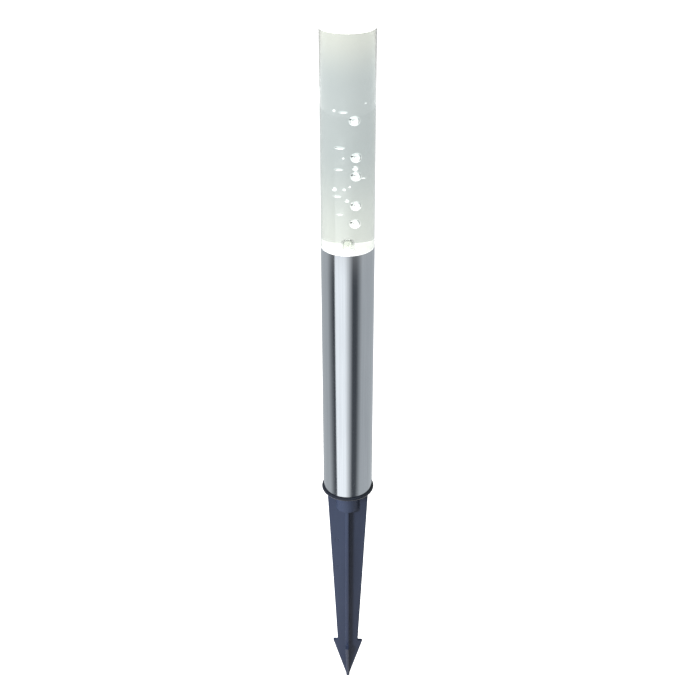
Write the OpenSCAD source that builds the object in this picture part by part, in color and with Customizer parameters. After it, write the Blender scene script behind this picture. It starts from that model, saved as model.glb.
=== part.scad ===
// Solar garden light: a clear rod with air bubbles on a steel tube, planted with a ground spike.
// Z is up and z = 0 is the ground line, at the underside of the end plug's flange. Units are mm.

/* [Steel tube] */
// Outside diameter of the tube
tube_d = 38; // [38:0.5:44]
// Wall thickness of the tube
tube_wall = 0.5; // [0.4:0.1:0.6]
// Length of the tube
tube_len = 205.8; // [190:0.2:320]

/* [Bubble rod] */
// Visible length of the clear rod
rod_len = 151.8; // [130:1:220]
// How much thinner than the tube the rod is, on the diameter
rod_undersize = 0.5; // [0:0.1:1]

/* [Ground spike] */
// Length of the spike below the ground line
spike_len = 205.2; // [180:0.2:260]
// Half width of the fins at the ground line
fin_top = 16.4; // [13:0.2:18]
// Half width of the fins just above the barbs
fin_bottom = 8.6; // [6:0.1:11]
// Half width of the two narrow fins under the hub
narrow_top = 8.6; // [6:0.2:9]
// Half width of the narrow fins just above the barbs
narrow_bottom = 7.6; // [5:0.2:9]
// Half width of the barbs
barb_reach = 12.6; // [10:0.5:16]
// Height of the barbed point
barb_h = 42.6; // [30:1:60]
// Thickness of a fin
fin_t = 2.6; // [2:0.2:4]
// Radius of the peg and hub
peg_r = 9.2; // [8:0.2:10]

/* [End plug] */
// Thickness of the flange
flange_t = 2.5; // [2:0.25:4]
// How far the flange stands out past the tube
flange_lip = 1.4; // [1:0.2:3]
// Height of the plug inside the tube
plug_h = 20; // [16:1:30]

/* [Battery] */
// Radius of the cell with its sleeve
cell_r = 7.25; // [7:0.05:7.3]
// Length of the cell's can
cell_len = 48.7; // [48:0.1:49]

/* [Hidden] */
$fn = 96;

eps = 0.01;                      // overlap that makes a cut run clean through a face
tube_r = tube_d / 2;
bore_r = tube_r - tube_wall;     // inside of the tube
slide_gap = 0.15;                // radial gap where the head slides in the tube
tube_z0 = flange_t;              // the tube stands on the flange
tube_z1 = tube_z0 + tube_len;

// Air bubbles in the rod, set out by hand: large ones at one depth, the rest at another.
big_bubble_r = 3.4;
big_bubble_y = -11;
small_bubble_y = -8;
lens_flatness = 0.3;
// Large bubbles: [side, height above the rod's foot].
BIG_BUBBLES = [[5, 22], [5.5, 35], [5.5, 56], [5.5, 69], [4.5, 94]];
// Small round bubbles: the same, then radius.
SMALL_BUBBLES = [[4.5, 61, 1.75], [-7, 100, 1], [-2, 68, 0.75], [-7, 46, 1.5], [-1.5, 46, 1], [1.5, 48, 0.75],
    [0, 38, 1.25]];
// Lens-shaped bubbles: the same, then half their width.
FLAT_BUBBLES = [[-2, 99, 2.5], [-4, 75, 3], [-4.5, 60, 2.5], [-5.5, 41, 2.5], [-4, 28, 2], [10.5, 105, 1],
    [9.5, 54, 1.5]];

// Stack inside the head, all heights measured down from the tube's mouth.
holder_h = 18.1;                 // lamp holder
holder_z0 = tube_z1 - holder_h;
holder_r = bore_r - slide_gap;
holder_floor = 3;
board_z = holder_z0 + 7;         // underside of the solar cell board
board_t = 1.2;
cell_t = 0.4;
diffuser_t = 1.6;
diffuser_r = 16.1;
led_r = 2.5;
led_base_z = holder_z0 + 17;     // underside of the lamp's flange
led_body_h = 6.1;
pocket_r = 3.1;                  // pocket in the rod's foot for the lamp's dome
pocket_depth = 8.3;

// Battery carrier below the lamp holder.
plate_r = 17.8;
top_plate_t = 2.5;
carrier_top = holder_z0;
cell_x = -7.5;                   // the cell stands beside the control board
well_r = cell_r + 0.2;           // battery well
well_wall = 1.2;
positive_t = 0.6;
nub_h = 1.2;
nub_r = 2.7;
cell_top = carrier_top - top_plate_t - positive_t - nub_h;
cell_bottom = cell_top - cell_len;
spring_h = 7;
cap_spigot_h = 5.5;              // up to the top of the washer
washer_t = 0.4;
washer_z = cell_bottom - spring_h - washer_t;
foot_plate_t = 3;
foot_z0 = cell_bottom - spring_h - cap_spigot_h;
foot_z1 = foot_z0 + foot_plate_t;
cap_flange_t = 2.2;
screw_places = [0, 125, 235];    // angles of the carrier's screws
screw_ring_r = 14.2;

// Control board, upright between two rails.
pcb_x = 5.5;
pcb_t = 1.6;
pcb_w = 24;
pcb_z0 = foot_z1 + 0.5;
pcb_z1 = carrier_top - 5;
pcb_face = pcb_x + pcb_t;        // the side that carries the components
rail_w = 2.2;
board_screw_z = [pcb_z0 + 13, pcb_z1 - 12];
switch_w = 8.6;
switch_travel = 2;
knob_x = pcb_face + 1.9;

// Spike, from the ground line down.
peg_h = 22;
hub_drop = 19.7;
tip_r = 1.5;
socket_gap = 0.1;

module ring(r_out, r_in, h) {
    difference() {
        cylinder(r = r_out, h = h);
        translate([0, 0, -eps]) cylinder(r = r_in, h = h + 2 * eps);
    }
}

module o_ring(r_mid, r_cord, z) {
    translate([0, 0, z]) rotate_extrude() translate([r_mid, 0]) circle(r = r_cord, $fn = 32);
}

// Points along a smooth curve through the given points.
function bend_point(p, i, t) =
    let (a = p[max(i - 1, 0)], b = p[i], c = p[i + 1], d = p[min(i + 2, len(p) - 1)])
    0.5 * (2 * b + (c - a) * t + (2 * a - 5 * b + 4 * c - d) * t * t + (3 * b - a - 3 * c + d) * t * t * t);
function bend(p, steps = 4) =
    concat([for (i = [0 : len(p) - 2], k = [0 : steps - 1]) bend_point(p, i, k / steps)], [p[len(p) - 1]]);
function unit(v) = v / norm(v);
function heading(p, i) = unit(p[min(i + 1, len(p) - 1)] - p[max(i - 1, 0)]);

// A round wire swept along points, with side as a direction that no stretch runs along.
module swept_wire(p, r, side, sides = 8) {
    rings = [for (i = [0 : len(p) - 1])
        let (d = heading(p, i), u = unit(cross(d, side)), v = cross(d, u))
        for (k = [0 : sides - 1]) p[i] + r * (cos(k * 360 / sides) * u + sin(k * 360 / sides) * v)];
    last = (len(p) - 1) * sides;
    walls = [for (i = [0 : len(p) - 2], k = [0 : sides - 1])
        let (a = i * sides + k, b = i * sides + (k + 1) % sides) [a, b, b + sides, a + sides]];
    polyhedron(rings, concat(walls, [[for (k = [sides - 1 : -1 : 0]) k]],
        [[for (k = [0 : sides - 1]) last + k]]));
}

// Pan-head screw with a cross recess: head at z 0 and below, shank upwards.
module pan_screw(head_r, head_h, shank_r, shank_len) {
    difference() {
        union() {
            translate([0, 0, -head_h]) cylinder(r1 = head_r * 0.75, r2 = head_r, h = head_h * 0.5);
            translate([0, 0, -head_h / 2]) cylinder(r = head_r, h = head_h / 2);
            cylinder(r = shank_r, h = shank_len - shank_r);
            translate([0, 0, shank_len - shank_r]) cylinder(r1 = shank_r, r2 = 0.2, h = shank_r);
        }
        for (a = [0, 90])
            rotate(a) translate([-head_r * 0.6, -0.25, -head_h - eps]) cube([head_r * 1.2, 0.5, head_h * 0.6]);
    }
}

// ---- Spike ----

// One plate makes two opposite fins with their barbs.
module fin_plate(reach_top, reach_bottom, z_top) {
    barb_z = -spike_len + barb_h;
    rotate([90, 0, 0]) linear_extrude(fin_t, center = true)
        polygon([[-reach_top, z_top], [-reach_bottom, barb_z], [-barb_reach, barb_z],
            [-tip_r * 0.9, -spike_len + 2 * tip_r], [tip_r * 0.9, -spike_len + 2 * tip_r],
            [barb_reach, barb_z], [reach_bottom, barb_z], [reach_top, z_top]]);
}

module ground_spike() color([0.22, 0.24, 0.29]) {
    difference() {
        union() {
            fin_plate(fin_top, fin_bottom, 0);
            rotate(90) fin_plate(narrow_top, narrow_bottom, -hub_drop + 2);
            translate([0, 0, -hub_drop]) cylinder(r = peg_r, h = hub_drop + peg_h - 1);
            translate([0, 0, peg_h - 1]) cylinder(r1 = peg_r, r2 = peg_r - 1, h = 1);
            translate([0, 0, -spike_len + tip_r]) sphere(r = tip_r);
            translate([0, 0, -spike_len + tip_r]) cylinder(r = tip_r, h = 3 * tip_r);
        }
        // The peg is cored out so that its wall is even.
        translate([0, 0, -hub_drop + 2]) cylinder(r = peg_r - 2, h = hub_drop + peg_h);
        o_groove(peg_r, 1.1, 2, peg_h / 2);
    }
}

// Groove for a sealing ring round the outside of a cylinder.
module o_groove(r_out, depth, h, z_mid) {
    translate([0, 0, z_mid - h / 2]) ring(r_out + 1, r_out - depth, h);
}

module spike_grip_ring() color([0.06, 0.06, 0.07]) o_ring(peg_r - 0.51, 0.58, peg_h / 2);

// ---- Stem ----

module steel_tube() color([0.75, 0.77, 0.8]) translate([0, 0, tube_z0]) ring(tube_r, bore_r, tube_len);

module end_plug() color([0.05, 0.06, 0.08]) {
    skirt_r = bore_r - 0.05;
    skirt_in = skirt_r - 2.6;
    socket_r = peg_r + socket_gap;
    socket_out = socket_r + 2;
    lip_r = tube_r + flange_lip;
    top_z = tube_z0 + plug_h;
    difference() {
        union() {
            cylinder(r = lip_r - flange_t / 2, h = flange_t);
            rotate_extrude() translate([lip_r - flange_t / 2, flange_t / 2]) circle(d = flange_t, $fn = 32);
            translate([0, 0, tube_z0 - eps]) ring(skirt_r, skirt_in, plug_h);
            cylinder(r = socket_out, h = top_z + 3.5);
            for (k = [0 : 7])
                rotate(k * 45 + 22.5) translate([socket_out - 0.5, -0.7, tube_z0 - eps])
                    cube([skirt_in - socket_out + 1, 1.4, plug_h - 4]);
        }
        translate([0, 0, -eps]) cylinder(r = socket_r, h = peg_h + 1);
        o_groove(skirt_r, 1.5, 2.2, tube_z0 + plug_h / 2);
    }
}

module plug_seal_ring() color([0.06, 0.06, 0.07]) o_ring(bore_r - 0.78, 0.76, tube_z0 + plug_h / 2);

// ---- Head: rod, lamp holder and what it holds ----

module lens(half_w, half_h) {
    r = (half_w * half_w + half_h * half_h) / (2 * half_h);
    offset_z = r - half_h;
    intersection() {
        translate([0, 0, offset_z]) sphere(r = r);
        translate([0, 0, -offset_z]) sphere(r = r);
    }
}

module acrylic_rod() color([0.85, 0.92, 0.93, 0.5]) translate([0, 0, tube_z1]) {
    rod_r = tube_r - rod_undersize / 2;
    edge = 0.5;
    difference() {
        union() {
            cylinder(r = rod_r, h = rod_len - edge);
            translate([0, 0, rod_len - edge]) cylinder(r1 = rod_r, r2 = rod_r - edge, h = edge);
        }
        translate([0, 0, -eps]) cylinder(r = pocket_r, h = pocket_depth - pocket_r + eps);
        translate([0, 0, pocket_depth - pocket_r]) sphere(r = pocket_r);
        for (b = BIG_BUBBLES) translate([b[0], big_bubble_y, b[1]]) sphere(r = big_bubble_r, $fn = 32);
        for (b = SMALL_BUBBLES) translate([b[0], small_bubble_y, b[1]]) sphere(r = b[2], $fn = 32);
        for (b = FLAT_BUBBLES) translate([b[0], small_bubble_y, b[1]]) lens(b[2], lens_flatness * b[2]);
    }
}

module light_diffuser() color([0.97, 0.97, 0.95])
    translate([0, 0, tube_z1 - diffuser_t]) ring(diffuser_r, pocket_r + 0.3, diffuser_t);

module lamp_holder() color([0.95, 0.95, 0.93]) {
    chamber_r = 14.6;
    ledge_r = 15.6;
    difference() {
        translate([0, 0, holder_z0]) cylinder(r = holder_r, h = holder_h);
        difference() {
            translate([0, 0, holder_z0 + holder_floor]) cylinder(r = chamber_r, h = holder_h);
            for (a = screw_places)
                rotate(a) translate([screw_ring_r, 0, holder_z0]) cylinder(r = 2.4, h = board_z - holder_z0 - 0.2);
        }
        translate([0, 0, board_z]) cylinder(r = ledge_r, h = holder_h);
        translate([0, 0, tube_z1 - diffuser_t]) cylinder(r = diffuser_r + 0.1, h = holder_h);
        for (a = screw_places)
            rotate(a) translate([screw_ring_r, 0, holder_z0 - eps]) cylinder(r = 1.15, h = 6);
        translate([8.5, 0, holder_z0 - eps]) cylinder(r = 2.6, h = holder_floor + 2 * eps);
        o_groove(holder_r, 1.7, 2.2, holder_z0 + 11);
    }
}

module head_seal_ring() color([0.06, 0.06, 0.07]) o_ring(bore_r - 0.95, 0.88, holder_z0 + 11);

module led_lamp() color([0.98, 0.98, 0.9]) {
    translate([0, 0, led_base_z]) {
        cylinder(r = led_r + 0.4, h = 1);
        cylinder(r = led_r, h = led_body_h);
        translate([0, 0, led_body_h]) intersection() {
            sphere(r = led_r);
            translate([0, 0, -eps]) cylinder(r = led_r + 1, h = led_r + 1);
        }
    }
    for (s = [-1, 1])
        translate([s * 1.27 - 0.25, -0.25, board_z - 1]) cube([0.5, 0.5, led_base_z - board_z + 1 + eps]);
}

module led_spacer() color([0.95, 0.95, 0.93]) difference() {
    translate([0, 0, board_z + board_t]) cylinder(r = 3.3, h = led_base_z - board_z - board_t);
    for (s = [-1, 1]) translate([s * 1.27, 0, board_z]) cylinder(r = 0.5, h = 14);
}

module solar_cell_board() color([0.1, 0.3, 0.16]) difference() {
    translate([0, 0, board_z]) cylinder(r = 15.4, h = board_t);
    for (s = [-1, 1]) translate([s * 1.27, 0, board_z - eps]) cylinder(r = 0.5, h = board_t + 2 * eps);
}

module solar_cells() color([0.08, 0.1, 0.25]) translate([0, 0, board_z + board_t]) difference() {
    ring(14.6, 4.4, cell_t);
    for (k = [0 : 2]) rotate(k * 60) cube([2 * diffuser_r, 0.8, 4], center = true);
}

// A tinned ribbon down the middle of each cell.
module solar_cell_ribbons() color([0.8, 0.8, 0.78])
    for (k = [0 : 5])
        rotate(k * 60 + 30) translate([5.2, -0.5, board_z + board_t + cell_t]) cube([8.6, 1, 0.15]);

module battery_carrier() color([0.16, 0.17, 0.18]) {
    well_top = carrier_top - top_plate_t;
    rail_z0 = foot_z1 - eps;
    difference() {
        union() {
            translate([0, 0, well_top]) cylinder(r = plate_r, h = top_plate_t);
            translate([0, 0, foot_z0]) cylinder(r = plate_r, h = foot_plate_t);
            translate([cell_x, 0, foot_z0]) cylinder(r = well_r + well_wall, h = well_top - foot_z0 + eps);
            for (s = [-1, 1])
                translate([pcb_x - 1.4, s * (pcb_w / 2 + 0.6) - rail_w / 2, rail_z0])
                    cube([pcb_t + 2.8, rail_w, well_top - rail_z0 + eps]);
            for (z = board_screw_z)
                translate([cell_x + well_r + 0.6, 0, z]) rotate([0, 90, 0])
                    cylinder(r = 2.2, h = pcb_x - cell_x - well_r - 0.6);
        }
        translate([cell_x, 0, foot_z0 - eps]) cylinder(r = well_r, h = well_top - foot_z0 + eps);
        // Window that shows the cell and lets a finger push it.
        translate([cell_x - well_r - 5, -4, foot_z1 + 14]) cube([8, 8, 38]);
        // Grooves that hold the control board's edges.
        translate([pcb_x - 0.1, -pcb_w / 2 - 0.1, rail_z0 + eps])
            cube([pcb_t + 0.2, pcb_w + 0.2, pcb_z1 - foot_z1 + 0.5]);
        for (z = board_screw_z)
            translate([cell_x + well_r + 1.2, 0, z]) rotate([0, 90, 0]) cylinder(r = 1, h = 20);
        // Switch window in the foot, wire hole and screw holes in the top plate.
        translate([knob_x - 1.3, -3, foot_z0 - eps]) cube([2.6, 6, foot_plate_t + 2 * eps]);
        translate([8.5, 0, well_top - eps]) cylinder(r = 2.6, h = top_plate_t + 2 * eps);
        for (a = screw_places)
            rotate(a) translate([screw_ring_r, 0, well_top - eps]) cylinder(r = 1.3, h = top_plate_t + 2 * eps);
        // Slots for the two contacts' tails.
        translate([cell_x + well_r - 1.5, -1.6, well_top - positive_t]) cube([4, 3.2, positive_t]);
        translate([cell_x + well_r - 1.5, -2.1, washer_z - 0.1]) cube([4, 4.2, washer_t + 0.2]);
    }
}

module carrier_screws() color([0.7, 0.7, 0.72])
    for (a = screw_places)
        rotate(a) translate([screw_ring_r, 0, carrier_top - top_plate_t]) pan_screw(1.9, 1.5, 1.1, 8);

module control_board() color([0.1, 0.32, 0.18]) difference() {
    translate([pcb_x, -pcb_w / 2, pcb_z0]) cube([pcb_t, pcb_w, pcb_z1 - pcb_z0]);
    for (z = board_screw_z)
        translate([pcb_x - eps, 0, z]) rotate([0, 90, 0]) cylinder(r = 1.1, h = pcb_t + 2 * eps);
}

module board_screws() color([0.7, 0.7, 0.72])
    for (z = board_screw_z)
        translate([pcb_face, 0, z]) rotate([0, -90, 0]) pan_screw(1.8, 1.3, 0.95, 5);

// Four-legged controller that charges by day and drives the lamp by night.
module control_chip() color([0.07, 0.07, 0.08]) translate([pcb_face, -6, pcb_z1 - 17]) {
    translate([1.2, -2.6, 0]) cube([1.8, 5.2, 4]);
    for (k = [0 : 3]) {
        y = -1.9 + k * 1.27;
        translate([1.9, y - 0.2, -1.6]) cube([0.4, 0.4, 1.6 + eps]);
        translate([0, y - 0.2, -1.6]) cube([2, 0.4, 0.4]);
    }
}

// A bead-like part lying along Z with a lead bent into the board at each end.
module axial_part(body_r, body_len, lead_len) {
    stand = body_r + 0.3;
    difference() {
        union() {
            translate([stand, 0, -body_len / 2]) cylinder(r = body_r, h = body_len);
            for (s = [-1, 1]) {
                translate([stand - 0.3, -0.3, s > 0 ? body_len / 2 - eps : -body_len / 2 - lead_len])
                    cube([0.6, 0.6, lead_len + eps]);
                translate([0, -0.3, s * (body_len / 2 + lead_len) - 0.3]) cube([stand + 0.3, 0.6, 0.6]);
            }
        }
        for (s = [-1, 1]) translate([stand, 0, s * body_len / 4 - 0.4]) ring(body_r + 1, body_r - 0.12, 0.8);
    }
}

module inductor() color([0.35, 0.55, 0.35]) translate([pcb_face, 6, pcb_z1 - 22]) axial_part(1.8, 9, 2);

module capacitor() color([0.12, 0.14, 0.3]) translate([pcb_face, -6, pcb_z0 + 24]) rotate([0, 90, 0]) {
    translate([0, 0, 0.4]) cylinder(r = 2.5, h = 5.6);
    translate([0, 0, 6]) cylinder(r1 = 2.5, r2 = 2.1, h = 0.5);
    for (s = [-1, 1]) translate([s, 0, 0]) cylinder(r = 0.3, h = 0.5);
}

module diode() color([0.08, 0.08, 0.09]) translate([pcb_face, 5.5, pcb_z0 + 21]) axial_part(1.3, 5, 1.5);

module resistors() color([0.75, 0.62, 0.42])
    for (y = [-8, -3.6]) translate([pcb_face, y, pcb_z0 + 30.5]) axial_part(0.9, 3.6, 1.5);

module slide_switch() color([0.78, 0.79, 0.8]) translate([pcb_face, 0, pcb_z0]) {
    difference() {
        translate([0.2, -switch_w / 2, 0]) cube([3.8, switch_w, 4]);
        translate([1.9 - 1, -2.2, -eps]) cube([2, 4.4, 2]);
    }
    for (k = [-1 : 1]) translate([0, k * 2.5 - 0.25, 2.8]) cube([0.3, 0.5, 0.5]);
}

module positive_contact() color([0.85, 0.75, 0.45]) translate([0, 0, carrier_top - top_plate_t - positive_t]) {
    translate([cell_x, 0, 0]) cylinder(r = 5, h = positive_t);
    translate([cell_x, -1.5, 0.1]) cube([well_r + well_wall + 0.4, 3, positive_t - 0.2]);
}

// Brass strip on the outside of the well, with a finger whose edge the cap's washer wipes.
strip_top = washer_z + 8;
module negative_contact() color([0.85, 0.75, 0.45]) {
    wall_x = cell_x + well_r + well_wall;
    translate([wall_x + 0.1, -2, washer_z]) cube([0.4, 4, strip_top - washer_z]);
    difference() {
        translate([wall_x - well_wall - 1, -2, washer_z]) cube([well_wall + 1.2, 4, washer_t]);
        translate([cell_x, 0, washer_z - 1]) cylinder(r = well_r, h = 3);
    }
}

// ---- Wires, routed by hand; each list starts at its solder joint ----

module lead_pair(tones, routes, r, side) {
    for (k = [0 : len(routes) - 1]) color(tones[k]) swept_wire(bend(routes[k]), r, side);
}

module solar_leads() {
    top = board_z;
    pads = pcb_z1 - 4;
    lead_pair(["firebrick", "black"],
        [for (s = [-1, 1]) [[9.6, s * 1.2, top], [9.6, s * 1.2, top - 6], [9.6, s * 1.4, top - 11],
            [10.4, s * 4, pads + 4], [10.2, s * 7, pads + 1], [9, s * 8.5, pads],
            [pcb_face + 0.05, s * 8.6, pads]]], 0.55, [0, 0.1, 1]);
}

module led_leads() {
    top = board_z;
    pads = pcb_z1 - 8.5;
    lead_pair(["gold", "white"],
        [for (s = [-1, 1]) [[8, s * 1.2, top], [8, s * 1.2, top - 6], [8.6, s * 1.2, top - 11],
            [10, s * 1.6, pads + 5], [10, s * 2.8, pads + 1.5], [9, s * 3.4, pads],
            [pcb_face + 0.05, s * 3.5, pads]]], 0.55, [0, 0.1, 1]);
}

module battery_leads() {
    up = carrier_top - top_plate_t - 0.8;
    low = strip_top - 1;
    lead_pair(["firebrick", "black"],
        [[[1.9, 1, up], [2.4, 2.4, up - 3], [3, 5, up - 7], [4, 6.8, up - 9], [pcb_x - 0.05, 7, up - 9.2]],
         [[2.35, 0.8, low], [2.7, 2.6, low + 2.3], [3, 5, low + 6.5], [4, 6.8, low + 9],
            [pcb_x - 0.05, 7, low + 9.2]]], 0.6, [0, 0.1, 1]);
}

// ---- Pieces that the user moves ----

module switch_knob() color([0.08, 0.08, 0.09])
    translate([knob_x - 0.9, switch_travel / 2 - 0.9, pcb_z0 + 1]) {
        cube([1.8, 1.8, 0.8]);
        translate([0.1, 0.1, -7]) cube([1.6, 1.6, 7 + eps]);
    }

module battery_cap() color([0.16, 0.17, 0.18]) translate([cell_x, 0, foot_z0]) difference() {
    union() {
        translate([0, 0, -cap_flange_t]) cylinder(r = well_r + well_wall + 0.3, h = cap_flange_t);
        cylinder(r = cell_r + 0.1, h = cap_spigot_h - washer_t);
        cylinder(r = 1.8, h = cap_spigot_h + 1);    // stake through the washer
    }
    // Coin slot in the underside.
    translate([-6, -0.9, -cap_flange_t - eps]) cube([12, 1.8, 1.4]);
}

// Metal washer that joins the spring to the strip's finger.
module cap_washer() color([0.8, 0.8, 0.78]) translate([cell_x, 0, washer_z]) ring(cell_r + 0.15, 1.85, washer_t);

// Conical spring: it narrows from the cap to the cell.
module battery_spring() color([0.8, 0.8, 0.78]) {
    turns = 4.5;
    wire_r = 0.35;
    z0 = washer_z + washer_t + wire_r;
    h = cell_bottom - z0 - wire_r;
    steps = 54;
    coil = [for (k = [0 : steps]) let (u = k / steps, a = u * turns * 360, r = 4.8 - 2 * u)
        [cell_x + r * cos(a), r * sin(a), z0 + h * u]];
    swept_wire(coil, wire_r, [0.01, 0.02, 1], 6);
}

module battery_cell() color([0.75, 0.76, 0.78]) translate([cell_x, 0, cell_bottom]) {
    can_r = cell_r - 0.15;
    cylinder(r = can_r - 0.6, h = 0.6);
    translate([0, 0, 0.6 - eps]) cylinder(r = can_r, h = cell_len - 0.6 + eps);
    translate([0, 0, cell_len - eps]) cylinder(r = nub_r, h = nub_h + eps);
}

module cell_sleeve() color([0.2, 0.55, 0.3])
    translate([cell_x, 0, cell_bottom + 0.6]) ring(cell_r, cell_r - 0.15, cell_len - 0.6);

ground_spike();
spike_grip_ring();
steel_tube();
end_plug();
plug_seal_ring();
acrylic_rod();
light_diffuser();
lamp_holder();
head_seal_ring();
led_lamp();
led_spacer();
solar_cell_board();
solar_cells();
solar_cell_ribbons();
battery_carrier();
carrier_screws();
control_board();
board_screws();
control_chip();
inductor();
capacitor();
diode();
resistors();
slide_switch();
positive_contact();
negative_contact();
solar_leads();
led_leads();
battery_leads();
switch_knob();
battery_cap();
cap_washer();
battery_spring();
battery_cell();
cell_sleeve();
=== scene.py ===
from math import asin, cos, pi, radians, sin, tau

import bmesh
import bpy
from mathutils import Matrix, Vector


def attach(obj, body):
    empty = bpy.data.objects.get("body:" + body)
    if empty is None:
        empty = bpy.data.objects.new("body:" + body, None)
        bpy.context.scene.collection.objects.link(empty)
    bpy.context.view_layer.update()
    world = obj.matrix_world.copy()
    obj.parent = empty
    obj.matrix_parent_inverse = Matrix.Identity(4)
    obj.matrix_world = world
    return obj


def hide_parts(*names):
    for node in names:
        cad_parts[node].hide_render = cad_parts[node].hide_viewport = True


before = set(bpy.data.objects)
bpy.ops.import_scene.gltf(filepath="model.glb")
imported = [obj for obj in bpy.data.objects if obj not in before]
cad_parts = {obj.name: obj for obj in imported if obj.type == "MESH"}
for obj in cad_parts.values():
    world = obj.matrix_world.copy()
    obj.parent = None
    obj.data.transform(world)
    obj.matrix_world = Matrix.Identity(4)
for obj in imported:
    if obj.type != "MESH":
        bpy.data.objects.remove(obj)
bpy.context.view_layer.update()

# ----------------------------------------------------------------------
# Ground spike. Injection moulded in slate-black nylon: two wide fins and two narrow ones under a
# short hub, a barbed arrow point with a small ball at its end, and a cored peg that stands up
# into the end plug's socket.
MM = 0.001
SPIKE_TIP, BARB, HUB_FOOT, PEG_TOP = -205.2, -162.6, -19.7, 22.0
PEG_R, PEG_BORE_R, PEG_GROOVE_R = 9.2, 7.2, 8.1
TIP_BALL_R = 1.5
POINT_FOOT, POINT_REACH, BARB_REACH = -202.2, 1.35, 12.6
WIDE_TOP, WIDE_FOOT = 16.4, 8.6
NARROW_TOP, NARROW_FOOT = 8.6, 7.6
SIDE_STEPS, CORNER_STEPS, ROOT_STEPS = 3, 4, 4
SECTION = 4 * (2 * SIDE_STEPS + 2 * CORNER_STEPS + ROOT_STEPS)


class Signal:
    """A socket in a node tree. Arithmetic on it adds Math nodes."""

    def __init__(self, nodes, socket):
        self.nodes, self.socket = nodes, socket

    def math(self, operation, *values):
        return self.nodes.math(operation, *values)

    def __add__(self, other):
        return self.math("ADD", self, other)

    def __sub__(self, other):
        return self.math("SUBTRACT", self, other)

    def __rsub__(self, other):
        return self.math("SUBTRACT", other, self)

    def __mul__(self, other):
        return self.math("MULTIPLY", self, other)

    def __truediv__(self, other):
        return self.math("DIVIDE", self, other)

    def __pow__(self, other):
        return self.math("POWER", self, other)

    def __abs__(self):
        return self.math("ABSOLUTE", self)

    __radd__, __rmul__ = __add__, __mul__


class Nodes:
    """A node tree whose nodes all come from one method."""

    def __init__(self, tree):
        self.tree = tree

    def math(self, operation, *values):
        return self.node("ShaderNodeMath", {"operation": operation}, values)

    def node(self, kind, settings=None, sockets=(), out=0):
        made = self.tree.nodes.new(kind)
        for key, value in (settings or {}).items():
            setattr(made, key, value)
        pairs = sockets.items() if isinstance(sockets, dict) else enumerate(sockets)
        for key, value in pairs:
            self.feed(made.inputs[key], value)
        return Signal(self, made.outputs[out])

    def feed(self, socket, value):
        """Links a signal to a socket, or sets a value; a colour of three numbers is opaque."""
        if isinstance(value, Signal):
            self.tree.links.new(value.socket, socket)
        else:
            socket.default_value = (*value, 1) if socket.type == "RGBA" else value

    def parts(self, vector):
        return [self.node("ShaderNodeSeparateXYZ", None, [vector], axis) for axis in "XYZ"]

    def rise(self, value, low, high):
        return self.node("ShaderNodeMapRange", {"interpolation_type": "SMOOTHSTEP"},
                         {"Value": value, "From Min": low, "From Max": high})


class Finish(Nodes):
    """A surface finish: each input of its shader is set to a value or fed by a signal."""

    def __init__(self, name, **inputs):
        self.material = bpy.data.materials.new(name)
        self.material.use_nodes = True
        super().__init__(self.material.node_tree)
        self.shader = self.tree.nodes["Principled BSDF"]
        self.place = self.node("ShaderNodeTexCoord", out="Object")
        self.along = self.parts(self.place)
        self.vary(**inputs)

    def vary(self, **inputs):
        for key, value in inputs.items():
            self.feed(self.shader.inputs[key.replace("_", " ")], value)

    def grain(self, scale, detail=2.0, stretch=(1, 1, 1)):
        stretched = self.node("ShaderNodeVectorMath", {"operation": "MULTIPLY"}, [self.place, stretch])
        return self.node("ShaderNodeTexNoise", None, {"Vector": stretched, "Scale": scale, "Detail": detail})

    def tint(self, mask, off, on):
        return self.node("ShaderNodeMix", {"data_type": "RGBA"}, {0: mask, 6: off, 7: on}, out=2)

    def mottle(self, scale, low, high, detail=3):
        return self.tint(self.grain(scale, detail), low, high)

    def relief(self, height, depth_mm):
        return self.node("ShaderNodeBump", None,
                         {"Strength": 1.0, "Distance": depth_mm * MM, "Height": height})

    def ring_mark(self, x_mm, z_mm, r_mm, width_mm):
        """A round line on faces that look along Y, as an ejector pin leaves."""
        across, up = self.along[0] / MM - x_mm, self.along[2] / MM - z_mm
        away = (across * across + up * up) ** 0.5
        return 1.0 - self.rise(abs(away - r_mm), 0.2 * width_mm, width_mm)


def clouded(name, scale, low, high, rough, spread, depth_mm=0.0, fine=None, detail=3, stretch=(1, 1, 1),
            **inputs):
    """A finish whose tone and roughness drift with one grain; a relief may follow it or be finer."""
    finish = Finish(name, **inputs)
    cloud = finish.grain(scale, detail, stretch)
    finish.vary(Base_Color=finish.tint(cloud, low, high), Roughness=rough + spread * cloud)
    if depth_mm:
        finish.vary(Normal=finish.relief(finish.grain(fine, 2) if fine else cloud, depth_mm))
    return finish


def spot(r, turn, z, x=0.0, y=0.0):
    """A point in metres, from a radius, a turn and a height round an upright axis in millimetres."""
    return Vector((x + r * cos(turn), y + r * sin(turn), z)) * MM


def loft(rings, loop=False):
    """A skin over rings of points; a ring of one point is a pole."""
    shape = bmesh.new()
    rows = [[shape.verts.new(point) for point in ring] for ring in rings]
    for low, high in list(zip(rows, rows[1:])) + ([(rows[-1], rows[0])] if loop else []):
        for k in range(max(len(low), len(high))):
            corners = [low[k % len(low)], low[(k + 1) % len(low)],
                       high[(k + 1) % len(high)], high[k % len(high)]]
            corners = list(dict.fromkeys(corners))
            if len(corners) > 2:
                shape.faces.new(corners)
    bmesh.ops.recalc_face_normals(shape, faces=shape.faces)
    return shape


def put_in_scene(name, data):
    thing = bpy.data.objects.new(name, data)
    bpy.context.scene.collection.objects.link(thing)
    return thing


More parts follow.
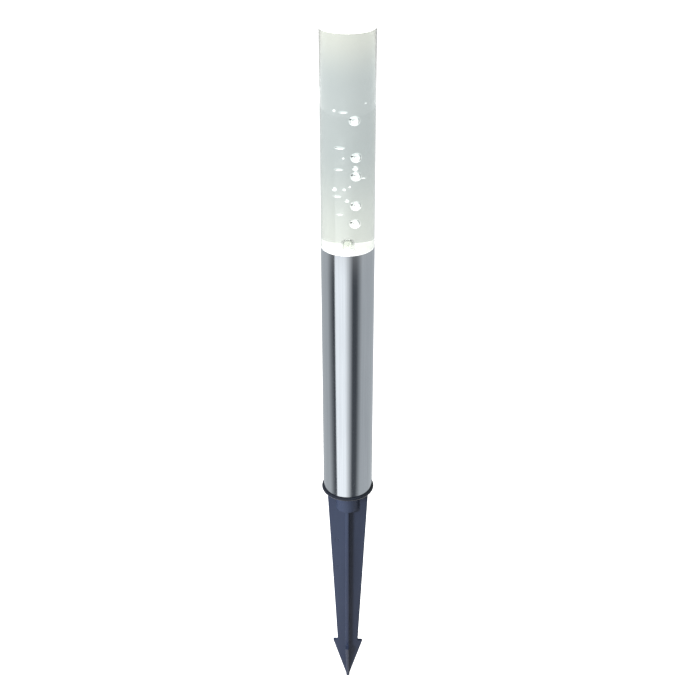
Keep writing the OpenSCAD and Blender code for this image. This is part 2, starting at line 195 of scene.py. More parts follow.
def add_piece(node, made, shape, finishes, body="light_head", crease=32):
    """Makes a shape a finished piece that moves with a body and stands for a node."""
    name = f"{node}_{made}"
    mesh = bpy.data.meshes.new(name)
    shape.to_mesh(mesh)
    shape.free()
    for finish in finishes:
        mesh.materials.append(finish.material)
    mesh.shade_smooth()
    mesh.set_sharp_from_angle(angle=radians(crease))
    piece = put_in_scene(name, mesh)
    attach(piece, body)
    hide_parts(node)


def circle_section(r, z):
    """A round section with the same number of points as a cross."""
    first = SIDE_STEPS + CORNER_STEPS - 0.5
    return [spot(r, (k - first) * tau / SECTION, z) for k in range(SECTION)]


def arm_points(reach, half, ease, root):
    """One arm's outline, from its root out along one side and back along the other."""
    outward = [(root + (reach - ease - root) * k / (SIDE_STEPS - 1), -half) for k in range(SIDE_STEPS)]
    corner = [radians(90 * k / (CORNER_STEPS - 1)) for k in range(CORNER_STEPS)]
    near = [(reach - ease + ease * sin(a), -half + ease - ease * cos(a)) for a in corner]
    far = [(u, -v) for u, v in reversed(near)]
    back = [(u, -v) for u, v in reversed(outward)]
    return outward + near + far + back


def cross_section(reaches, z, half=1.3, ease=0.55, fillet=0.9):
    """Four arms with eased tips and filleted roots."""
    points = []
    for k, reach in enumerate(reaches * 2):
        turn = Matrix.Rotation(k * pi / 2, 3, "Z")
        arm = arm_points(reach, half, ease, half + fillet)
        bends = [radians(-90 - 90 * (j + 1) / (ROOT_STEPS + 1)) for j in range(ROOT_STEPS)]
        arm += [(half + fillet + fillet * cos(a), half + fillet + fillet * sin(a)) for a in bends]
        points += [turn @ Vector((u, v, z)) * MM for u, v in arm]
    return points


def hub_section(hub_r, reach, z, half=1.3, ease=0.55):
    """A round hub with only the two wide arms standing out of it."""
    root_turn = asin(half / hub_r)
    between = SECTION // 2 - 2 * (SIDE_STEPS + CORNER_STEPS)
    points = []
    for k in range(2):
        turn = Matrix.Rotation(k * pi, 3, "Z")
        arm = arm_points(reach, half, ease, hub_r * cos(root_turn))
        sweep = [root_turn + (pi - 2 * root_turn) * (j + 1) / (between + 1) for j in range(between)]
        arm += [(hub_r * cos(a), hub_r * sin(a)) for a in sweep]
        points += [turn @ Vector((u, v, z)) * MM for u, v in arm]
    return points


def fins_at(z):
    """How far the wide and the narrow fins reach at a height above the barbs."""
    up = (z - BARB) / -BARB
    narrow_up = (z - BARB) / (HUB_FOOT - BARB)
    return [WIDE_FOOT + (WIDE_TOP - WIDE_FOOT) * up, NARROW_FOOT + (NARROW_TOP - NARROW_FOOT) * narrow_up]


spike_rings = [[spot(0, 0, SPIKE_TIP)]]
for bend in [radians(15 * k) for k in range(1, 7)]:
    spike_rings.append(circle_section(TIP_BALL_R * sin(bend), SPIKE_TIP + TIP_BALL_R * (1 - cos(bend))))
spike_rings.append(circle_section(1.42, SPIKE_TIP + 2.4))
for z in (-200, -188.8, -175.8, -164, -162.9):
    up = (z - POINT_FOOT) / (BARB - POINT_FOOT)
    spike_rings.append(cross_section([POINT_REACH + (BARB_REACH - POINT_REACH) * up] * 2, z, 0.85 + 0.4 * up,
                                     0.4, 0.5))
spike_rings.append(cross_section([BARB_REACH - 0.35] * 2, BARB, 1.25, 0.4, 0.5))
foot = fins_at(BARB)
spike_rings.append(cross_section([foot[0] + 0.6, foot[1] + 0.6], BARB, 1.27, 0.5, 0.7))
for z in (-162, -120, -75, -40, -20.6):
    spike_rings.append(cross_section(fins_at(z), z))
spike_rings.append(cross_section(fins_at(HUB_FOOT), HUB_FOOT, fillet=1.4))
spike_rings.append(hub_section(PEG_R - 0.35, fins_at(HUB_FOOT)[0], HUB_FOOT))
for z in (HUB_FOOT + 0.35, -10, -0.4):
    spike_rings.append(hub_section(PEG_R, fins_at(z)[0], z))
spike_rings.append(hub_section(PEG_R, WIDE_TOP - 0.4, 0.0))
spike_rings.append(circle_section(PEG_R, 0.0))
for r, z in [(PEG_R, 9.9), (PEG_R - 0.1, 10), (PEG_GROOVE_R, 10), (PEG_GROOVE_R, 12), (PEG_R - 0.1, 12),
             (PEG_R, 12.1), (PEG_R, 20.9), (PEG_R - 0.1, 21.2), (PEG_R - 0.8, PEG_TOP - 0.1),
             (PEG_R - 1, PEG_TOP), (PEG_BORE_R + 0.2, PEG_TOP), (PEG_BORE_R, PEG_TOP - 0.2),
             (PEG_BORE_R, HUB_FOOT + 2.4), (PEG_BORE_R - 0.4, HUB_FOOT + 2)]:
    spike_rings.append(circle_section(r, z))
spike_rings.append([spot(0, 0, HUB_FOOT + 2)])

spike_finish = Finish("slate_black_nylon", IOR=1.5, Specular_IOR_Level=0.14)
flow = spike_finish.grain(26, 3, (1, 1, 0.25))
speck = spike_finish.grain(2600, 2)
flow_mask = spike_finish.rise(flow, 0.35, 0.7)
tone = spike_finish.tint(flow_mask, (0.0088, 0.0120, 0.0235), (0.0128, 0.0172, 0.031))
UPPER_PIN, LOWER_PIN, PIN_LINE = (-8.6, -53.5, 1.6), (-9.2, -81, 1.7), 0.4
pins = spike_finish.ring_mark(*UPPER_PIN, PIN_LINE) + spike_finish.ring_mark(*LOWER_PIN, PIN_LINE)
spike_finish.vary(Base_Color=tone, Roughness=0.42 + 0.16 * spike_finish.grain(900, 3),
                  Normal=spike_finish.relief(0.12 * speck - pins, 0.16))
add_piece("ground_spike", "moulding", loft(spike_rings), [spike_finish], "ground_spike", 38)

# ----------------------------------------------------------------------
# Grip ring. A nitrile O-ring in the peg's groove that keeps the stem from lifting off in the wind.


def turned(profile, steps=96, x=0.0, y=0.0, base=0.0, loop=False):
    """A shape spun round an upright axis from (radius, height) points in millimetres."""
    rings = []
    for r, z in profile:
        turns = [tau * k / steps for k in range(steps)] if r > 1e-6 else [0.0]
        rings.append([spot(r, a, base + z, x, y) for a in turns])
    return loft(rings, loop)


def o_ring_shape(r_mid, r_cord, z, steps=128):
    bends = [tau * k / 20 for k in range(20)]
    return turned([(r_mid + r_cord * cos(a), z + r_cord * sin(a)) for a in bends], steps, loop=True)


rubber = Finish("nitrile_rubber", IOR=1.5)
rubber_mask = rubber.rise(rubber.grain(400, 4), 0.4, 0.65)
rubber.vary(Base_Color=rubber.tint(rubber_mask, (0.012, 0.012, 0.013), (0.022, 0.022, 0.024)),
            Roughness=0.5 + 0.25 * rubber.grain(1500, 2), Normal=rubber.relief(rubber.grain(5000, 2), 0.02))
add_piece("spike_grip_ring", "moulding", o_ring_shape(PEG_R - 0.51, 0.58, 11), [rubber],
          "ground_spike")

# ----------------------------------------------------------------------
# Steel tube. Drawn stainless tube, 38 mm across with a 0.5 mm wall, polished along its length and
# cut square with the edges broken. It presses over the end plug and stands on its flange.
TUBE_FOOT, TUBE_TOP, TUBE_R, TUBE_BORE_R = 2.5, 208.3, 19.0, 18.5


def eased(profile, ease, loop=False, steps=3):
    """The same outline with its corners rounded."""
    outline = []
    for k, point in enumerate(profile):
        corner = Vector(point)
        if not loop and k in (0, len(profile) - 1):
            outline.append(tuple(corner))
            continue
        before = Vector(profile[k - 1]) - corner
        after = Vector(profile[(k + 1) % len(profile)]) - corner
        cut = min(ease, before.length * 0.45, after.length * 0.45)
        start, end = corner + before.normalized() * cut, corner + after.normalized() * cut
        for j in range(steps + 1):
            t = j / steps
            outline.append(tuple(start * (1 - t) ** 2 + corner * (2 * t * (1 - t)) + end * t * t))
    return outline


def collar(inner, outer, foot, top, ease, steps, x=0.0):
    """A ring of rectangular section with eased edges."""
    section = [(inner, foot), (outer, foot), (outer, top), (inner, top)]
    return turned(eased(section, ease, loop=True), steps, x=x, loop=True)


steel = Finish("polished_stainless", Metallic=1.0, Anisotropic=0.3)
draw_lines = steel.grain(900, 3, (1, 1, 0.012))
cloud = steel.grain(30, 3, (1, 1, 0.3))
steel_mask = steel.rise(0.5 * draw_lines + 0.5 * cloud, 0.35, 0.65)
steel.vary(Base_Color=steel.tint(steel_mask, (0.50, 0.52, 0.54), (0.55, 0.57, 0.59)),
           Roughness=0.06 + 0.10 * draw_lines, Normal=steel.relief(draw_lines, 0.004))
add_piece("steel_tube", "drawn", collar(TUBE_BORE_R, TUBE_R, TUBE_FOOT, TUBE_TOP, 0.18, 160), [steel],
          "stem", 40)

# ----------------------------------------------------------------------
# End plug. Moulded in glossy black plastic: a rounded flange that shows as the thin rim under the
# tube, a skirt that presses into the tube, and a blind socket for the spike's peg, joined by ribs.
FLANGE_R, FLANGE_T, PLUG_TOP = 20.4, 2.5, 22.5
SKIRT_R, SKIRT_BORE_R, SOCKET_R, SOCKET_WALL_R = 18.45, 15.85, 9.3, 11.3
RIB_COUNT, RIB_T, RIB_H = 8, 1.4, 16.0


class Growth(Nodes):
    """A Geometry Nodes tree with named inputs, which becomes a plain mesh."""

    def __init__(self, name, **sizes):
        super().__init__(bpy.data.node_groups.new(name, "GeometryNodeTree"))
        self.sizes = sizes
        ends = self.tree.interface
        ends.new_socket("Geometry", in_out="INPUT", socket_type="NodeSocketGeometry")
        for key, value in sizes.items():
            kind = "NodeSocketInt" if isinstance(value, int) else "NodeSocketFloat"
            ends.new_socket(key, in_out="INPUT", socket_type=kind)
        ends.new_socket("Geometry", in_out="OUTPUT", socket_type="NodeSocketGeometry")
        self.start = self.tree.nodes.new("NodeGroupInput")

    def given(self, key):
        return Signal(self, self.start.outputs[key])

    def wire(self, path, sides, thick):
        ring = self.node("GeometryNodeCurvePrimitiveCircle", None, {"Resolution": sides, "Radius": thick})
        return self.node("GeometryNodeCurveToMesh", None,
                         {"Curve": path, "Profile Curve": ring, "Fill Caps": True})

    def shape(self, geometry, finish, host_mesh=None):
        real = self.node("GeometryNodeRealizeInstances", None, [geometry])
        painted = self.node("GeometryNodeSetMaterial", None, {"Geometry": real, "Material": finish.material})
        end = self.tree.nodes.new("NodeGroupOutput")
        self.tree.links.new(painted.socket, end.inputs[0])
        host = put_in_scene(self.tree.name, host_mesh or bpy.data.meshes.new(self.tree.name))
        modifier = host.modifiers.new("growth", "NODES")
        modifier.node_group = self.tree
        for item in self.tree.interface.items_tree:
            if item.in_out == "INPUT" and item.name in self.sizes:
                modifier[item.identifier] = self.sizes[item.name]
        host.update_tag()
        grown = bpy.data.meshes.new_from_object(host.evaluated_get(bpy.context.evaluated_depsgraph_get()))
        host.modifiers.remove(modifier)
        bpy.data.objects.remove(host)
        made = bmesh.new()
        made.from_mesh(grown)
        bpy.data.meshes.remove(grown)
        return made


def joined(*shapes):
    """Several shapes as one; each keeps its own closed skin."""
    whole = bmesh.new()
    for shape in shapes:
        part = bpy.data.meshes.new("part")
        shape.to_mesh(part)
        shape.free()
        whole.from_mesh(part)
        bpy.data.meshes.remove(part)
    return whole


plug_gloss = Finish("glossy_black_plastic", IOR=1.5, Specular_IOR_Level=0.22)
plug_mask = plug_gloss.rise(plug_gloss.grain(60, 3), 0.4, 0.7)
plug_gloss.vary(Base_Color=plug_gloss.tint(plug_mask, (0.004, 0.005, 0.008), (0.007, 0.009, 0.013)),
                Roughness=0.2 + 0.14 * plug_gloss.grain(500, 3),
                Normal=plug_gloss.relief(plug_gloss.grain(1400, 2), 0.008))
ribs = Growth("plug_ribs", Ribs=RIB_COUNT, Reach=(SKIRT_BORE_R - SOCKET_WALL_R + 0.6) * MM, Thick=RIB_T * MM,
              High=RIB_H * MM, Ring=(SKIRT_BORE_R + SOCKET_WALL_R) / 2 * MM)
rib_size = ribs.node("ShaderNodeCombineXYZ", None, [ribs.given(key) for key in ("Reach", "Thick", "High")])
rib_block = ribs.node("GeometryNodeMeshCube", None, {"Size": rib_size})
rib_ring = ribs.node("GeometryNodeMeshCircle", None,
                     {"Vertices": ribs.given("Ribs"), "Radius": ribs.given("Ring")})
rib_turn = ribs.node("FunctionNodeAlignRotationToVector", {"axis": "X"},
                     {"Vector": ribs.node("GeometryNodeInputPosition")})
rib_set = ribs.node("GeometryNodeInstanceOnPoints", None,
                    {"Points": rib_ring, "Instance": rib_block, "Rotation": rib_turn})
rib_up = ribs.node("GeometryNodeTransform", None,
                   {"Geometry": rib_set, "Translation": (0, 0, (FLANGE_T + RIB_H / 2 - 0.05) * MM),
                    "Rotation": (0, 0, radians(22.5))})
rib_shape = ribs.shape(rib_up, plug_gloss)

RIM_R = FLANGE_T / 2
rim = [(FLANGE_R - RIM_R + RIM_R * cos(a), RIM_R + RIM_R * sin(a))
       for a in [radians(90 - 15 * k) for k in range(13)]]
plug_profile = (eased([(0, 26), (SOCKET_WALL_R, 26), (SOCKET_WALL_R, FLANGE_T), (SKIRT_BORE_R, FLANGE_T),
                       (SKIRT_BORE_R, PLUG_TOP), (SKIRT_R, PLUG_TOP), (SKIRT_R, 13.6), (16.95, 13.6),
                       (16.95, 11.4), (SKIRT_R, 11.4), (SKIRT_R, FLANGE_T), rim[0]], 0.35)
                + rim[1:-1] + eased([rim[-1], (SOCKET_R, 0), (SOCKET_R, 23), (0, 23)], 0.35))
add_piece("end_plug", "moulding", joined(turned(plug_profile, 128), rib_shape), [plug_gloss],
          "stem")
add_piece("plug_seal_ring", "moulding", o_ring_shape(TUBE_BORE_R - 0.78, 0.76, 12.5), [rubber],
          "stem")

# ----------------------------------------------------------------------
# Bubble rod. Cast clear acrylic, sawn to length with frosted ends, and with air bubbles left in it
# on purpose. The lamp's dome stands in a pocket in its foot, so the whole rod carries the light.
ROD_R, ROD_LEN, POCKET_R, POCKET_H = 18.75, 151.8, 3.1, 8.3
BIG_BUBBLE_R, BIG_BUBBLE_Y, SMALL_BUBBLE_Y, LENS_FLATNESS = 3.4, -11, -8, 0.3
BIG_BUBBLES = [(5, 22), (5.5, 35), (5.5, 56), (5.5, 69), (4.5, 94)]
SMALL_BUBBLES = [(4.5, 61, 1.75), (-7, 100, 1), (-2, 68, 0.75), (-7, 46, 1.5), (-1.5, 46, 1), (1.5, 48, 0.75),
                 (0, 38, 1.25)]
FLAT_BUBBLES = [(-2, 99, 2.5), (-4, 75, 3), (-4.5, 60, 2.5), (-5.5, 41, 2.5), (-4, 28, 2), (10.5, 105, 1),
                (9.5, 54, 1.5)]

acrylic = Finish("cast_clear_acrylic", Transmission_Weight=0.93, IOR=1.49, Roughness=0.015)
# Painted glow: the rod's colour is lighter over its lowest 75 mm and again near its top. This stands in for
# the lamp's light carried in the acrylic.
height_mm = acrylic.along[2] / MM - TUBE_TOP
painted_glow_toward_foot = 1.0 - acrylic.rise(height_mm, 0.0, 75.0)
painted_glow_toward_top = acrylic.rise(height_mm, 116.0, ROD_LEN)
body_tone_with_painted_glow = acrylic.tint(painted_glow_toward_foot, (0.36, 0.40, 0.395), (0.51, 0.54, 0.50))
acrylic.vary(Base_Color=acrylic.tint(painted_glow_toward_top, body_tone_with_painted_glow, (0.50, 0.52, 0.47)))

# Painted glow: the frosted ends emit light though they are no lamp, standing in for the lamp's light leaving
# the rod. The emission dims from the foot towards the top end.
frosted = Finish("frosted_rod_end", Base_Color=(0.93, 0.94, 0.92), Emission_Strength=1.0)
GLOW_FULL, GLOW_LEAST = 250, 350
glow_lost = frosted.rise(frosted.along[2], GLOW_FULL * MM, GLOW_LEAST * MM)
frosted.vary(Roughness=0.6 + 0.2 * frosted.grain(300, 3),
             Emission_Color=frosted.tint(glow_lost, (1.0, 1.0, 0.97), (0.45, 0.46, 0.44)))

# Painted light: the bubbles emit light though they are no lamp, standing in for the lamp's light caught in
# them. Their upper side is painted greyer than their lower side.
bubble_wall = Finish("bubble_wall", Transmission_Weight=1.0, IOR=1.49, Roughness=0.02, Emission_Strength=0.72)
around = bubble_wall.node("ShaderNodeAttribute", {"attribute_name": "around"}, out="Vector")
side, away, up = bubble_wall.parts(around)
level = up + 0.30 * away
# Painted reflection: a dark spot at the upper left of each bubble and a grey streak running from it stand in
# for the bubble's refraction and reflection.
dark_side, dark_up = side + 0.68, level - 0.24
painted_dark_spot = 1.0 - bubble_wall.rise(dark_side * dark_side + dark_up * dark_up, 0.018, 0.06)
painted_shade_streak = ((1.0 - bubble_wall.rise(abs(level - 0.16 + 0.1 * side), 0.04, 0.16))
          * (1.0 - bubble_wall.rise(side, -0.1, 0.6)))
shade = bubble_wall.math("MAXIMUM", painted_dark_spot, 0.4 * painted_shade_streak)
lit = bubble_wall.tint(bubble_wall.rise(level, 0.0, 0.25), (1.0, 1.0, 0.98), (0.82, 0.86, 0.86))
bubble_wall.vary(Metallic=shade, Base_Color=bubble_wall.tint(shade, (0.95, 0.96, 0.95), (0.04, 0.04, 0.04)),
                 Emission_Color=bubble_wall.tint(shade, lit, (0.02, 0.02, 0.02)))

bubble_seeds = bpy.data.meshes.new("bubble_seeds")
bubble_list = ([(x, BIG_BUBBLE_Y, z, BIG_BUBBLE_R, BIG_BUBBLE_R) for x, z in BIG_BUBBLES]
               + [(x, SMALL_BUBBLE_Y, z, r, r) for x, z, r in SMALL_BUBBLES]
               + [(x, SMALL_BUBBLE_Y, z, half, LENS_FLATNESS * half) for x, z, half in FLAT_BUBBLES])
bubble_seeds.from_pydata([Vector((x, y, z + TUBE_TOP)) * MM for x, y, z, _, _ in bubble_list], [], [])
bubble_size = bubble_seeds.attributes.new("bubble_size", "FLOAT_VECTOR", "POINT")
for k, (_, _, _, half_width, half_height) in enumerate(bubble_list):
    bubble_size.data[k].vector = Vector((half_width, half_width, half_height)) * MM
bubbles = Growth("air_bubbles", Segments=36, Rings=20)
ball = bubbles.node("GeometryNodeMeshUVSphere", None,
                    {"Segments": bubbles.given("Segments"), "Rings": bubbles.given("Rings"), "Radius": 1.0})
ball = bubbles.node("GeometryNodeStoreNamedAttribute", {"data_type": "FLOAT_VECTOR", "domain": "POINT"},
                    {"Geometry": ball, "Name": "around", "Value": bubbles.node("GeometryNodeInputPosition")})
sizes = bubbles.node("GeometryNodeInputNamedAttribute", {"data_type": "FLOAT_VECTOR"},
                     {"Name": "bubble_size"})
placed = bubbles.node("GeometryNodeInstanceOnPoints", None,
                      {"Points": bubbles.given("Geometry"), "Instance": ball, "Scale": sizes})
hollow = bubbles.node("GeometryNodeFlipFaces", None,
                      [bubbles.node("GeometryNodeRealizeInstances", None, [placed])])
bubble_shape = bubbles.shape(hollow, bubble_wall, bubble_seeds)
for face in bubble_shape.faces:
    face.material_index = 2

rod_edge = 0.5
pocket_dome = [(POCKET_R * sin(a), POCKET_H - POCKET_R + POCKET_R * cos(a))
               for a in [radians(9 * k) for k in range(11)]]
rod_profile = pocket_dome + eased([(POCKET_R, 0.5), (POCKET_R, 0.02), (ROD_R, 0.02),
                                   (ROD_R, ROD_LEN - rod_edge), (ROD_R - rod_edge, ROD_LEN),
                                   (0, ROD_LEN)], 0.3)
rod_shape = turned(rod_profile, 192, base=TUBE_TOP)
for face in rod_shape.faces:
    level = face.calc_center_median().z / MM - TUBE_TOP
    across = face.calc_center_median().xy.length / MM
    if (level > ROD_LEN - rod_edge and face.normal.z > 0.2) or (level < 0.3 and across > POCKET_R + 0.1):
        face.material_index = 1
add_piece("acrylic_rod", "cast", joined(rod_shape, bubble_shape), [acrylic, frosted, bubble_wall],
          crease=30)

# ----------------------------------------------------------------------
# Head seal and diffuser. The nitrile ring in the lamp holder's groove grips the tube's bore; the
# opal ring closes the holder's mouth, lets light reach the solar cells and glows at night.


def turn_to(shape, matrix):
    """Moves a shape, keeping its skin as it is."""
    bmesh.ops.transform(shape, matrix=matrix, verts=shape.verts)
    return shape


HOLDER_Z, CELL_BOARD_Z, LAMP_Z = 190.2, 197.2, 207.2
BOARD_BACK, BOARD_FACE, BOARD_LOW, BOARD_HIGH = 5.5, 7.1, 128.2, 185.2
add_piece("head_seal_ring", "moulding", o_ring_shape(17.55, 0.88, HOLDER_Z + 11), [rubber])
# Painted glow: the diffuser emits light though it is no lamp, standing in for the lamp's light shining
# through it.
opal = clouded("opal_polycarbonate", 180, (0.90, 0.92, 0.90), (0.97, 0.97, 0.95), 0.3, 0.2, IOR=1.58,
               Subsurface_Weight=0.4, Subsurface_Scale=0.003, Emission_Strength=0.5)
opal.vary(Emission_Color=opal.mottle(180, (0.9, 0.92, 0.9), (1, 1, 0.98)))
add_piece("light_diffuser", "moulding", collar(3.4, 16.1, TUBE_TOP - 1.6, TUBE_TOP - 0.02, 0.3, 128), [opal])

# ----------------------------------------------------------------------
# Lamp holder and spacer. Moulded in white plastic: a cup that plugs the tube's mouth, carries the
# solar cell board on a ledge and holds the carrier's screws; the spacer lifts the lamp to the rod.


def soften(node_name, finish, width_mm=0.15):
    """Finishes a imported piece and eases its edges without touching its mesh."""
    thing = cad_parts[node_name]
    thing.data.materials.clear()
    thing.data.materials.append(finish.material)
    weld = thing.modifiers.new("weld", "WELD")
    weld.merge_threshold = 0.002 * MM
    ease = thing.modifiers.new("ease", "BEVEL")
    ease.width, ease.segments, ease.limit_method = width_mm * MM, 2, "ANGLE"
    ease.angle_limit, ease.harden_normals = radians(50), True
    ease.use_clamp_overlap = True


white_shell = clouded("white_moulding", 120, (0.60, 0.60, 0.58), (0.67, 0.67, 0.65), 0.35, 0.2, 0.01, 2500,
                      IOR=1.5)
soften("lamp_holder", white_shell)
spacer_shape = collar(1.0, 3.3, CELL_BOARD_Z + 1.25, LAMP_Z - 0.02, 0.3, 48)
add_piece("led_spacer", "moulding", spacer_shape, [white_shell])

# ----------------------------------------------------------------------
# Lamp. A 5 mm white LED in clear epoxy: flanged body with a domed tip, the die's cup and post
# inside, and two tinned legs soldered through the cell board.


def boxed(low, high, ease_mm=0.05):
    """A block with its edges eased, from two corners in millimetres."""
    shape = bmesh.new()
    middle = (Vector(low) + Vector(high)) / 2
    size = Vector(high) - Vector(low)
    bmesh.ops.create_cube(shape, size=1.0,
                          matrix=Matrix.Translation(middle * MM) @ Matrix.Diagonal((*(size * MM), 1.0)))
    bmesh.ops.bevel(shape, geom=list(shape.edges), offset=ease_mm * MM, segments=2, affect="EDGES",
                    profile=0.5)
    return shape


def set_slot(shape, index):
    for face in shape.faces:
        face.material_index = index
    return shape


epoxy = clouded("clear_epoxy", 700, (0.96, 0.96, 0.92), (1, 1, 0.98), 0.05, 0.08, detail=2, IOR=1.53,
                Transmission_Weight=0.8, Emission_Strength=1.0)
glow_left = epoxy.rise(epoxy.along[2], (LAMP_Z + 1.5) * MM, (LAMP_Z + 6) * MM)
epoxy.vary(Emission_Color=epoxy.tint(glow_left, (0.9, 0.9, 0.86), (0.3, 0.31, 0.29)))
tinned = clouded("tinned_copper", 900, (0.60, 0.60, 0.57), (0.75, 0.75, 0.72), 0.25, 0.2, 0.02, Metallic=1.0)
die_glow = Finish("lamp_die_glow", Base_Color=(1, 0.98, 0.9), Emission_Strength=6.0)
die_glow.vary(Emission_Color=die_glow.mottle(2000, (1, 0.93, 0.8), (1, 1, 0.95), 2))
LAMP_R, LAMP_FLANGE_R, DOME_Z, DIE_X = 2.5, 2.9, 6.1, -0.2
lamp_dome = [(LAMP_R * cos(a), DOME_Z + LAMP_R * sin(a)) for a in [radians(9 * k) for k in range(10)]]
lamp_foot = eased([(0, 0.02), (LAMP_FLANGE_R, 0.02), (LAMP_FLANGE_R, 1), (LAMP_R, 1), lamp_dome[0]], 0.12)
lamp_body = turned(lamp_foot + lamp_dome[1:-1] + [(0, DOME_Z + LAMP_R)], 64, base=LAMP_Z)
lamp_cup = turned(eased([(0, 3.2), (0.75, 3.2), (1.05, 4.3), (0.9, 4.3), (0.5, 3.6), (0, 3.6)], 0.05), 32,
                  x=DIE_X, base=LAMP_Z)
lamp_die = turned([(0, 3.7), (0.35, 3.72), (0.3, 3.95), (0, 4.0)], 16, x=DIE_X, base=LAMP_Z)
legs = [boxed((x - 0.25, -0.25, CELL_BOARD_Z - 1), (x + 0.25, 0.25, LAMP_Z + 3.1)) for x in (-1.27, 1.27)]
add_piece("led_lamp", "body", joined(lamp_body, set_slot(joined(lamp_cup, *legs), 1), set_slot(lamp_die, 2)),
          [epoxy, tinned, die_glow])

# ----------------------------------------------------------------------
# Solar cell board. A round laminate disc with six silicon cells laid in a ring, each with silver
# collecting fingers printed on it and a tinned ribbon soldered down its middle.
laminate = Finish("green_laminate", IOR=1.5, Coat_Weight=0.3, Coat_Roughness=0.2)
trace_lines = laminate.node("ShaderNodeTexBrick", {"offset": 0.5},
                            {"Vector": laminate.place, "Color1": (0, 0, 0), "Color2": (0.2, 0.2, 0.2),
                             "Mortar": (1, 1, 1), "Scale": 260.0, "Mortar Size": 0.06,
                             "Mortar Smooth": 0.2, "Brick Width": 1.1, "Row Height": 0.5})
weave = laminate.grain(2200, 2)
mask_tone = laminate.tint(weave, (0.015, 0.11, 0.05), (0.025, 0.15, 0.07))
copper_mask = 0.7 * laminate.rise(laminate.grain(140, 1), 0.52, 0.56) * trace_lines
laminate.vary(Base_Color=laminate.tint(copper_mask, mask_tone, (0.05, 0.26, 0.11)),
              Roughness=0.28 + 0.2 * weave, Normal=laminate.relief(trace_lines, 0.02))
silicon = Finish("silicon_cell", IOR=2.0, Coat_Weight=0.6, Coat_Roughness=0.08)
cell_side, cell_away = silicon.along[0], silicon.along[1]
cell_out = (cell_side * cell_side + cell_away * cell_away) ** 0.5
finger = 1.0 - silicon.rise(silicon.math("PINGPONG", cell_out, 0.45 * MM), 0.03 * MM, 0.07 * MM)
crystal = silicon.node("ShaderNodeTexVoronoi", None, {"Vector": silicon.place, "Scale": 320.0},
                       out="Distance")
crystal_tone = silicon.tint(crystal, (0.006, 0.012, 0.05), (0.012, 0.03, 0.11))
silicon.vary(Base_Color=silicon.tint(finger, crystal_tone, (0.55, 0.56, 0.57)), Metallic=0.8 * finger,
             Roughness=0.22 + 0.15 * crystal)
soften("solar_cell_board", laminate, 0.1)
soften("solar_cells", silicon, 0.05)
soften("solar_cell_ribbons", tinned, 0.03)

# ----------------------------------------------------------------------
# Carrier. One black glass-filled moulding that hangs from the lamp holder: top plate, battery
# well with a window, foot plate, and two grooved rails that hold the control board upright.
carrier_plastic = clouded("carrier_moulding", 350, (0.022, 0.023, 0.025), (0.040, 0.042, 0.045), 0.4, 0.25,
                          0.02, 3500, detail=4, IOR=1.5, Specular_IOR_Level=0.4)
soften("battery_carrier", carrier_plastic, 0.2)

# ----------------------------------------------------------------------
# Screws. Zinc-plated pan heads with a cross recess and a rolled thread: three hold the carrier to
# the lamp holder from below and two hold the control board to the well's bosses.
zinc = clouded("zinc_plating", 1200, (0.55, 0.56, 0.58), (0.70, 0.71, 0.73), 0.22, 0.2, 0.01, Metallic=1.0)


def screw_shape(head_r, head_h, shank_r, length, pitch=0.8, steps=48):
    """A screw that points up, its head's flat side at zero."""
    turns = [tau * k / steps for k in range(steps)]

    def cross(r, z):
        return [spot(r * (0.45 + 0.55 * abs(cos(2 * a)) ** 6), a, z) for a in turns]

    def level(r, z):
        return [spot(r, a, z) for a in turns]

    rings = [[spot(0, 0, -head_h * 0.35)], cross(head_r * 0.42, -head_h * 0.4), cross(head_r * 0.62, -head_h)]
    rings += [level(head_r * 0.74, -head_h), level(head_r * 0.88, -head_h * 0.88),
              level(head_r * 0.97, -head_h * 0.6), level(head_r, -head_h * 0.25), level(head_r, -0.12),
              level(head_r - 0.1, -0.02), level(shank_r * 0.82, 0.0)]
    z = 0.3
    while z < length - 1.0:
        rings += [level(shank_r * 0.8, z), level(shank_r, z + pitch * 0.45), level(shank_r, z + pitch * 0.55)]
        z += pitch
    rings += [level(shank_r * 0.7, z), [spot(0, 0, length)]]
    return loft(rings)


def plant_screws(node, spots, turn_y, dims):
    """Copies of one screw at several spots, as one piece."""
    master_mesh = bpy.data.meshes.new("screw_master")
    cut = screw_shape(*dims)
    cut.to_mesh(master_mesh)
    cut.free()
    master = put_in_scene("screw_master", master_mesh)
    seeds = bpy.data.meshes.new(node)
    seeds.from_pydata([Vector(place) * MM for place in spots], [], [])
    planting = Growth(node, Turn=turn_y)
    pattern = planting.node("GeometryNodeObjectInfo", None, {"Object": master}, out="Geometry")
    turn = planting.node("ShaderNodeCombineXYZ", None, [0.0, planting.given("Turn"), 0.0])
    copies = planting.node("GeometryNodeInstanceOnPoints", None,
                           {"Points": planting.given("Geometry"), "Instance": pattern, "Rotation": turn})
    shape = planting.shape(copies, zinc, seeds)
    bpy.data.objects.remove(master)
    add_piece(node, "zinc", shape, [zinc])


SCREW_CIRCLE_R, SCREW_SEAT = 14.2, 187.7
carrier_seats = [spot(SCREW_CIRCLE_R, radians(a), SCREW_SEAT) / MM for a in (0, 125, 235)]
plant_screws("carrier_screws", carrier_seats, 0.0, (1.9, 1.5, 1.1, 8.0))
plant_screws("board_screws", [(BOARD_FACE, 0, z) for z in (141.2, 173.2)], -pi / 2, (1.8, 1.3, 0.95, 5.0))

# ----------------------------------------------------------------------
# Control board. A 1.6 mm laminate board, routed with rounded corners, that slides into the
# carrier's rails. It carries the charger's parts on the face away from the battery.


